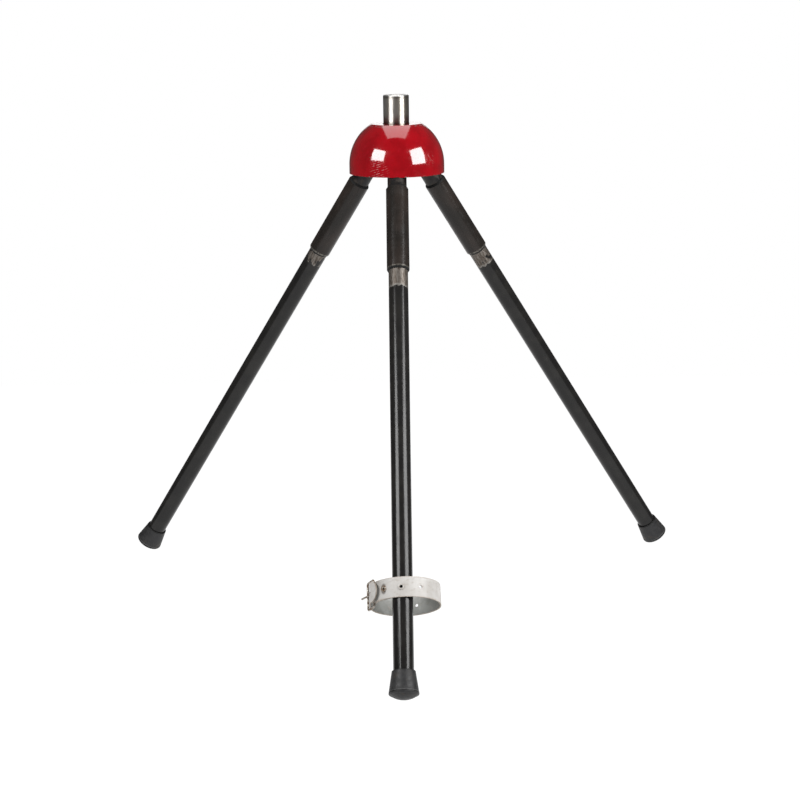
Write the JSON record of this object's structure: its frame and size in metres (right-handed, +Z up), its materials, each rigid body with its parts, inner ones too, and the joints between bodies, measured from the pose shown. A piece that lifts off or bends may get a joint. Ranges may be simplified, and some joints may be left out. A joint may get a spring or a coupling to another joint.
{
  "type": "pitching machine tripod stand",
  "caption": "Folding steel tripod stand for a ball pitching machine: domed head with a plain spindle on top, tube legs with sliding lock sleeves, rubber tips and a buckled strap.",
  "frame": {"origin": "on the floor, at the centre of the outline of the three spread legs", "axes": "+Z up along the spindle; the front leg points to -Y, the other two point back to the left and right; +X is to the right"},
  "size_m": [1.1986, 1.0456, 1.0387],
  "materials": {
    "dome_enamel": "gloss enamel",
    "polished_steel": "turned and polished by use",
    "plain_steel": "plain",
    "black_paint": "gloss",
    "zinc": "zinc plate",
    "grey_rubber": "moulded",
    "pale_strap": "smooth, aged white",
    "rusty_steel": "dull",
    "dark_steel": "worn satin"
  },
  "bodies": {
    "head": {"dome_shell": "dome_enamel", "spindle": "polished_steel", "spindle_spacer": "plain_steel", "hub_plate": "black_paint", "spindle_washer": "zinc", "spindle_nut": "zinc", "front_stub_tube": "black_paint", "front_knuckle_fork": "plain_steel", "front_stub_pin": "plain_steel", "front_hinge_pin": "plain_steel", "left_stub_tube": "black_paint", "left_knuckle_fork": "plain_steel", "left_stub_pin": "plain_steel", "left_hinge_pin": "plain_steel", "right_stub_tube": "black_paint", "right_knuckle_fork": "plain_steel", "right_stub_pin": "plain_steel", "right_hinge_pin": "plain_steel"},
    "front_leg": {"front_knuckle_tongue": "plain_steel", "front_leg_tube": "black_paint", "front_plug_pins": "plain_steel", "front_rubber_tip": "grey_rubber", "front_tip_washer": "zinc", "bundle_strap": "pale_strap", "strap_rivet": "rusty_steel", "buckle_rivet": "rusty_steel"},
    "front_sleeve": {"front_lock_sleeve": "dark_steel"},
    "left_leg": {"left_knuckle_tongue": "plain_steel", "left_leg_tube": "black_paint", "left_plug_pins": "plain_steel", "left_rubber_tip": "grey_rubber", "left_tip_washer": "zinc"},
    "left_sleeve": {"left_lock_sleeve": "dark_steel"},
    "right_leg": {"right_knuckle_tongue": "plain_steel", "right_leg_tube": "black_paint", "right_plug_pins": "plain_steel", "right_rubber_tip": "grey_rubber", "right_tip_washer": "zinc"},
    "right_sleeve": {"right_lock_sleeve": "dark_steel"},
    "buckle_frame": {"buckle_frame": "rusty_steel"},
    "buckle_prong": {"buckle_prong": "rusty_steel"}
  },
  "joints": [
    {"name": "front_leg_fold", "type": "hinge", "parent": "head", "child": "front_leg", "pos_m": [0, 0.06835, 0.84904], "axis": [1, 0, 0], "range_deg": [0, 34.3]},
    {"name": "front_sleeve_slide", "type": "slide", "parent": "front_leg", "child": "front_sleeve", "axis": [0, -0.5635, -0.8261], "range_m": [0, 0.038]},
    {"name": "left_leg_fold", "type": "hinge", "parent": "head", "child": "left_leg", "pos_m": [-0.08299, 0.21208, 0.84904], "axis": [-0.5, -0.866, 0], "range_deg": [0, 34.3]},
    {"name": "left_sleeve_slide", "type": "slide", "parent": "left_leg", "child": "left_sleeve", "axis": [-0.488, 0.2818, -0.8261], "range_m": [0, 0.038]},
    {"name": "right_leg_fold", "type": "hinge", "parent": "head", "child": "right_leg", "pos_m": [0.08299, 0.21208, 0.84904], "axis": [-0.5, 0.866, 0], "range_deg": [0, 34.3]},
    {"name": "right_sleeve_slide", "type": "slide", "parent": "right_leg", "child": "right_sleeve", "axis": [0.488, 0.2818, -0.8261], "range_m": [0, 0.038]},
    {"name": "buckle_lift", "type": "hinge", "parent": "front_leg", "child": "buckle_frame", "pos_m": [-0.05281, -0.37684, 0.1672], "axis": [-0.0191, 0.5651, 0.8248], "range_deg": [0, 20]},
    {"name": "prong_lift", "type": "hinge", "parent": "buckle_frame", "child": "buckle_prong", "pos_m": [-0.05281, -0.37684, 0.1672], "axis": [-0.0191, 0.5651, 0.8248], "range_deg": [0, 35]}
  ],
  "couplings": [
    {"joint": "front_sleeve_slide", "follows": "front_leg_fold", "m_per_rad": 0.063466},
    {"joint": "left_sleeve_slide", "follows": "left_leg_fold", "m_per_rad": 0.063466},
    {"joint": "right_sleeve_slide", "follows": "right_leg_fold", "m_per_rad": 0.063466}
  ]
}
